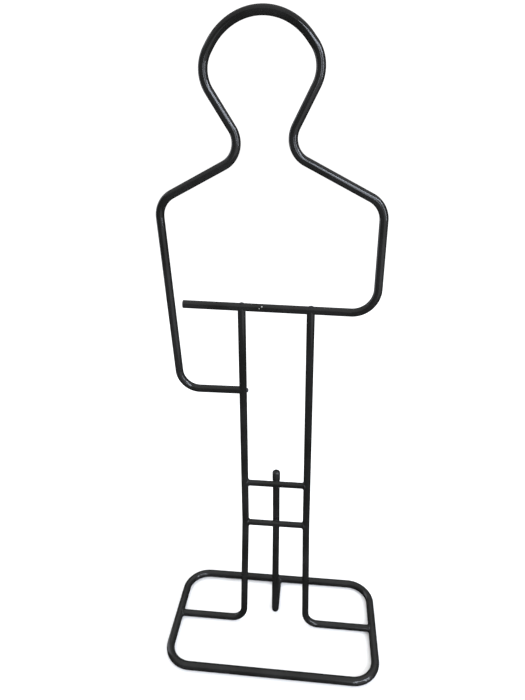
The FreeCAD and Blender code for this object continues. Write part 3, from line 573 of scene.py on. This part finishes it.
def sink_recess(mesh, top):
    """Sink a tapered cross into a head whose crown is at that height."""
    half, arm = RECESS_WIDTH / 2, RECESS_LENGTH / 2
    cross = [(arm, -half), (arm, half), (half, half), (half, arm), (-half, arm), (-half, half),
             (-arm, half), (-arm, -half), (-half, -half), (-half, -arm), (half, -arm),
             (half, -half)]
    punch = bmesh.new()
    rings = [[punch.verts.new((x * grow_by, y * grow_by, height)) for x, y in cross]
             for grow_by, height in ((1.0, top + RECESS_DEPTH),
                                     (1.0, top - RECESS_DEPTH * RECESS_STRAIGHT),
                                     (RECESS_TAPER, top - RECESS_DEPTH))]
    punch.faces.new(rings[0])
    punch.faces.new(rings[-1])
    for upper, lower in zip(rings, rings[1:]):
        for i in range(len(cross)):
            j = (i + 1) % len(cross)
            punch.faces.new((upper[i], upper[j], lower[j], lower[i]))
    bmesh.ops.recalc_face_normals(punch, faces=punch.faces)
    punch_mesh = bpy.data.meshes.new("punch")
    punch.to_mesh(punch_mesh)
    punch.free()
    head = bpy.data.objects.new("head", mesh)
    tool = bpy.data.objects.new("tool", punch_mesh)
    for item in (head, tool):
        bpy.context.scene.collection.objects.link(item)
    stamped = head.modifiers.new("recess", "BOOLEAN")
    stamped.operation = "DIFFERENCE"
    stamped.solver = "EXACT"
    stamped.object = tool
    result = bpy.data.meshes.new_from_object(
        head.evaluated_get(bpy.context.evaluated_depsgraph_get()))
    bpy.data.objects.remove(head)
    bpy.data.objects.remove(tool)
    return result


def make_screw(name, head_profile, top, shank, thread, seat, axis):
    """A screw: head turned and punched, plain shank, rolled thread, then put in its seat."""
    root_r = SCREW_D / 2 - THREAD_DEPTH
    blank = lathe([(0, -shank), (root_r - TIP_CHAMFER, -shank), (root_r, -shank + TIP_CHAMFER),
                   (root_r, -shank + thread), (SCREW_D / 2, -shank + thread + THREAD_DEPTH)]
                  + head_profile)
    blank = sink_recess(blank, top)
    blank.transform(Matrix.Translation((0, 0, shank - THREAD_PITCH)))
    turns = (thread - 2 * THREAD_PITCH) / THREAD_PITCH
    mesh = grow(thread_tree, blank, {
        "Turns": turns, "Thread radius": root_r + RIDGE_CENTRE,
        "Thread length": thread - 2 * THREAD_PITCH, "Ridge radius": RIDGE_R,
        "Steps": THREAD_STEPS, "Finish": blackened})
    mesh.transform(Matrix.Translation((0, 0, THREAD_PITCH - shank)))
    mesh.transform(Matrix.Translation(seat) @ axis.to_track_quat("Z", "Y").to_matrix().to_4x4())
    add_piece(name + "_headed", mesh, "black_screw", name, finish=blackened)


waist_r = WAIST_HEAD_D / 2
dome_r = (waist_r ** 2 + WAIST_DOME ** 2) / (2 * WAIST_DOME)
dome_span = math.degrees(math.asin(waist_r / dome_r))
waist_head = [(SCREW_D / 2, -WAIST_CONE), (waist_r - WAIST_RIM[0], -WAIST_RIM[1])] + rounded(
    0, WAIST_DOME - dome_r, dome_r, dome_r, 90 - dome_span, 90, 12)[:-1] + [(0, WAIST_DOME)]
for side, hand in ((-1, "left"), (1, "right")):
    low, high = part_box(f"{hand}_waist_screw")
    lean = Vector((-side * POST_LEAN.x, 0, POST_LEAN.z))
    seat = Vector(((low.x + high.x) / 2, (low.y + high.y) / 2, high.z - WAIST_DOME))
    make_screw(f"{hand}_waist_screw", waist_head, WAIST_DOME, FRAME_TUBE_D + WAIST_THREAD,
               WAIST_THREAD, seat, lean)

pan_r = PAN_HEAD_D / 2
pan_head = [(SCREW_D / 2, 0), (pan_r, 0)] + rounded(
    pan_r - PAN_EDGE_R, PAN_EDGE_HEIGHT, PAN_EDGE_R, PAN_EDGE_HEIGHT, 0, PAN_EDGE_TURN, 8) + [
    (pan_r * PAN_CROWN[0], PAN_HEIGHT * PAN_CROWN[1]), (0, PAN_HEIGHT)]
low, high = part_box("arm_screw")
seat = Vector((high.x - PAN_HEIGHT, (low.y + high.y) / 2, (low.z + high.z) / 2))
make_screw("arm_screw", pan_head, PAN_HEIGHT, FRAME_TUBE_D + ARM_THREAD, ARM_THREAD, seat,
           Vector((1, 0, 0)))

# ---------------------------------------------------------------------------------------
# Inserts
# Threaded plugs turned from zinc plated steel, pressed into the posts and the forearm.
# They are out of sight: bright, with fine rings left by the tool.
# ---------------------------------------------------------------------------------------
ZINC_DARK, ZINC_LIGHT = "#a9abab", "#c8c8c4"
ZINC_CLOUD = 4 * MM
ZINC_ROUGHNESS = (0.25, 0.42)
TOOL_MARK_SCALE = 1 / (0.25 * MM) / 6.28
TOOL_MARK_WAVER, TOOL_MARK_HEIGHT = 0.4, 0.01 * MM

zinc = bpy.data.materials.new("zinc_plated_turned_steel")
zinc.use_nodes = True
zinc_tree = zinc.node_tree
zinc_surface = zinc_tree.nodes["Principled BSDF"]
zinc_place = add_node(zinc_tree, "ShaderNodeTexCoord").outputs["Object"]
zinc_cloud = add_node(zinc_tree, "ShaderNodeTexNoise", inputs={
    "Vector": zinc_place, "Scale": 1 / ZINC_CLOUD, "Detail": 3.0}).outputs["Fac"]
zinc_colour = add_node(zinc_tree, "ShaderNodeMix", {"data_type": "RGBA"}, {
    "Factor": zinc_cloud, 6: linear(ZINC_DARK), 7: linear(ZINC_LIGHT)})
zinc_rings = add_node(zinc_tree, "ShaderNodeTexWave", {"bands_direction": "Z"}, {
    "Vector": zinc_place, "Scale": TOOL_MARK_SCALE,
    "Distortion": TOOL_MARK_WAVER}).outputs["Fac"]
zinc_bump = add_node(zinc_tree, "ShaderNodeBump", inputs={
    "Height": zinc_rings, "Distance": TOOL_MARK_HEIGHT})
zinc_rough = add_node(zinc_tree, "ShaderNodeMapRange", inputs={
    "Value": zinc_cloud, "To Min": ZINC_ROUGHNESS[0], "To Max": ZINC_ROUGHNESS[1]})
zinc_tree.links.new(zinc_colour.outputs[2], zinc_surface.inputs["Base Color"])
zinc_tree.links.new(zinc_rough.outputs["Result"], zinc_surface.inputs["Roughness"])
zinc_tree.links.new(zinc_bump.outputs["Normal"], zinc_surface.inputs["Normal"])
zinc_surface.inputs["Metallic"].default_value = 1.0
for name in ("left_post_insert", "right_post_insert", "forearm_insert"):
    cad_nodes[name].data.materials[0] = zinc

# ---------------------------------------------------------------------------------------
# Plug in the free end of the trouser bar
# Injection moulded black polyethylene, hammered in: a flat flange with a rounded rim and a
# gate mark in its middle, and a stem with three ribs that grip the tube.
# ---------------------------------------------------------------------------------------
PLUG_FLANGE, PLUG_STEM, PLUG_FILLET = 2 * MM, 16 * MM, 0.8 * MM
PLUG_LEAD = 0.8 * MM            # taper that starts the stem into the tube
LEAD_TIP, LEAD_END = 0.86, 0.93         # of the bore's radius, at the taper's two ends
RIB_COUNT, RIB_HEIGHT = 3, 0.35 * MM
RIB_FIRST, RIB_PITCH = 2.5 * MM, 4.2 * MM
RIB_RAMP, RIB_TOP, RIB_BACK = 1.1 * MM, 1.5 * MM, 1.6 * MM
GATE_R, GATE_SUNK, GATE_NUB = 0.9 * MM, 0.18 * MM, 0.05 * MM
GATE_RING = (2.2, 1.9, 0.9)     # of the gate's radius: dish edge, dish floor, nub
PLUG_SHARP = math.radians(35)
PLUG_IOR = 1.51
BAR_SLOPE = 9.5 / 371           # the trouser bar's fall over its run

# polyethylene from a spark-eroded mould, satin all over
polythene = mottled("black_moulded_polyethylene", ("#171717", "#262626"), (6 * MM, 3.0),
                    (0.3 * MM, 2.0), 0.03 * MM, (0.42, 0.6), rough_by="grain", ior=PLUG_IOR)

plug_r = FRAME_TUBE_D / 2
bore_r = plug_r - TUBE_WALL
stem = [(0, -PLUG_STEM), (bore_r * LEAD_TIP, -PLUG_STEM),
        (bore_r * LEAD_END, -PLUG_STEM + PLUG_LEAD)]
for rib in range(RIB_COUNT):
    low_z = -PLUG_STEM + RIB_FIRST + RIB_PITCH * rib
    stem += [(bore_r - RIB_HEIGHT, low_z), (bore_r, low_z + RIB_RAMP),
             (bore_r, low_z + RIB_TOP), (bore_r - RIB_HEIGHT, low_z + RIB_BACK)]
face = [(GATE_R * GATE_RING[0], PLUG_FLANGE), (GATE_R * GATE_RING[1], PLUG_FLANGE - GATE_SUNK),
        (GATE_R, PLUG_FLANGE - GATE_SUNK), (GATE_R * GATE_RING[2], PLUG_FLANGE - GATE_NUB),
        (0, PLUG_FLANGE - GATE_NUB)]
plug_mesh = lathe(stem + [(bore_r - RIB_HEIGHT, 0), (plug_r, 0)] + rounded(
    plug_r - PLUG_FILLET, PLUG_FLANGE - PLUG_FILLET, PLUG_FILLET, PLUG_FILLET, 0, 90, 8) + face)
plug_mesh.set_sharp_from_angle(angle=PLUG_SHARP)
outwards = Vector((-1, 0, BAR_SLOPE)).normalized()
tip = Vector((figure_corners[-1][0], figure_y, figure_corners[-1][2]))
plug_mesh.transform(
    Matrix.Translation(tip) @ outwards.to_track_quat("Z", "Y").to_matrix().to_4x4())
add_piece("bar_end_plug_moulded", plug_mesh, "black_plastic", "bar_end_plug", finish=polythene)

# ---------------------------------------------------------------------------------------
# Floor, light and camera
# A white paper floor and a white room, with the panes of a window to the right in front of
# the stand, a faint glow from the wall round it and from the ceiling, and one window far
# round to the left.
# ---------------------------------------------------------------------------------------
FLOOR_HALF, FLOOR_DROP = 30.0, 0.5 * MM
PAPER_WHITE, PAPER_ROUGHNESS = "#f4f4f4", 0.9
ROOM_LIGHT = 1.12
CAMERA_FOCAL_PX, IMAGE_WIDTH, IMAGE_HEIGHT = 527.0, 525, 700
CAMERA_YAW, CAMERA_PITCH, CAMERA_ROLL = (math.radians(a) for a in (-6.3229, 23.5591, 0.5395))
CAMERA_PLACE = Vector((69.89, -812.96, 1008.71)) * MM
SENSOR, CLIP_END = 36.0, 200.0
LIGHT_DISTANCE = 4.0
LIGHT_AIM = Vector((0, 0, 0.65))
# name, azimuth from the front towards the right, elevation, angular width and height,
# all in degrees, then radiance and colour
SOFTBOXES = [
    ("window_right_top_pane", 45, 38.5, 50, 2.6, 21.0, "#e6efff"),
    ("window_right_second_pane", 45, 31.5, 50, 2.8, 18.0, "#e6efff"),
    ("window_right_near_edge", 12, 15, 4, 26, 6.5, "#eaf2ff"),
    ("window_right_near_pane", 21, 17, 3.4, 24, 8.5, "#eaf2ff"),
    ("window_right_far_pane", 52, 12, 3.4, 34, 12.0, "#eaf2ff"),
    ("window_right_far_edge", 62, 12, 3.4, 34, 12.0, "#eaf2ff"),
    ("wall_round_window", 42, 8, 70, 62, 0.5, "#fbfbff"),
    ("window_left", -110, 12, 30, 58, 1.3, "#f1f6ff"),
    ("ceiling", 0, 80, 110, 110, 0.3, "#ffffff"),
]

floor_mesh = bpy.data.meshes.new("floor")
corners = [(x * FLOOR_HALF, y * FLOOR_HALF, -FLOOR_DROP)
           for x, y in ((-1, -1), (1, -1), (1, 1), (-1, 1))]
floor_mesh.from_pydata(corners, [], [(0, 1, 2, 3)])
floor = bpy.data.objects.new("floor", floor_mesh)
bpy.context.scene.collection.objects.link(floor)
paper = bpy.data.materials.new("white_paper_floor")
paper.use_nodes = True
paper_surface = paper.node_tree.nodes["Principled BSDF"].inputs
paper_surface["Base Color"].default_value = linear(PAPER_WHITE)
paper_surface["Roughness"].default_value = PAPER_ROUGHNESS
paper_surface["Specular IOR Level"].default_value = 0.0
floor_mesh.materials.append(paper)

world = bpy.data.worlds.new("white_room")
bpy.context.scene.world = world
world.use_nodes = True
room = world.node_tree.nodes["Background"].inputs
room["Color"].default_value = (1, 1, 1, 1)
room["Strength"].default_value = ROOM_LIGHT

# The paper and the room light the stand but aren't mirrored in the gloss: a real studio
# is darker than its overexposed backdrop, and only its windows show in the enamel.
world.cycles_visibility.glossy = False
floor.visible_glossy = False
for name, azimuth, elevation, wide, high, radiance, tint in SOFTBOXES:
    azimuth, elevation = math.radians(azimuth), math.radians(elevation)
    offset = Vector((math.sin(azimuth) * math.cos(elevation),
                     -math.cos(azimuth) * math.cos(elevation), math.sin(elevation)))
    box_data = bpy.data.lights.new(name, "AREA")
    box_data.shape = "RECTANGLE"
    box_data.size = 2 * LIGHT_DISTANCE * math.tan(math.radians(wide / 2))
    box_data.size_y = 2 * LIGHT_DISTANCE * math.tan(math.radians(high / 2))
    box_data.energy = radiance * math.pi * box_data.size * box_data.size_y
    box_data.color = linear(tint)[:3]
    box = bpy.data.objects.new(name, box_data)
    bpy.context.scene.collection.objects.link(box)
    box.matrix_world = Matrix.Translation(LIGHT_AIM + offset * LIGHT_DISTANCE) @ (
        (-offset).to_track_quat("-Z", "Y").to_matrix().to_4x4())

forward = Vector((math.sin(CAMERA_YAW), math.cos(CAMERA_YAW), 0))
sideways = Vector((math.cos(CAMERA_YAW), -math.sin(CAMERA_YAW), 0))
up = Vector((0, 0, 1))
look = forward * math.cos(CAMERA_PITCH) - up * math.sin(CAMERA_PITCH)
down = -(up * math.cos(CAMERA_PITCH) + forward * math.sin(CAMERA_PITCH))
image_x = sideways * math.cos(CAMERA_ROLL) + down * math.sin(CAMERA_ROLL)
image_y = -sideways * math.sin(CAMERA_ROLL) + down * math.cos(CAMERA_ROLL)
turn = Matrix((image_x, -image_y, -look)).transposed().to_4x4()
camera_data = bpy.data.cameras.new("camera")
camera_data.sensor_width = SENSOR
camera_data.lens = CAMERA_FOCAL_PX * SENSOR / max(IMAGE_WIDTH, IMAGE_HEIGHT)
camera_data.clip_end = CLIP_END
camera = bpy.data.objects.new("camera", camera_data)
bpy.context.scene.collection.objects.link(camera)
camera.matrix_world = Matrix.Translation(CAMERA_PLACE) @ turn
bpy.context.scene.camera = camera
bpy.context.scene.view_settings.view_transform = "Standard"
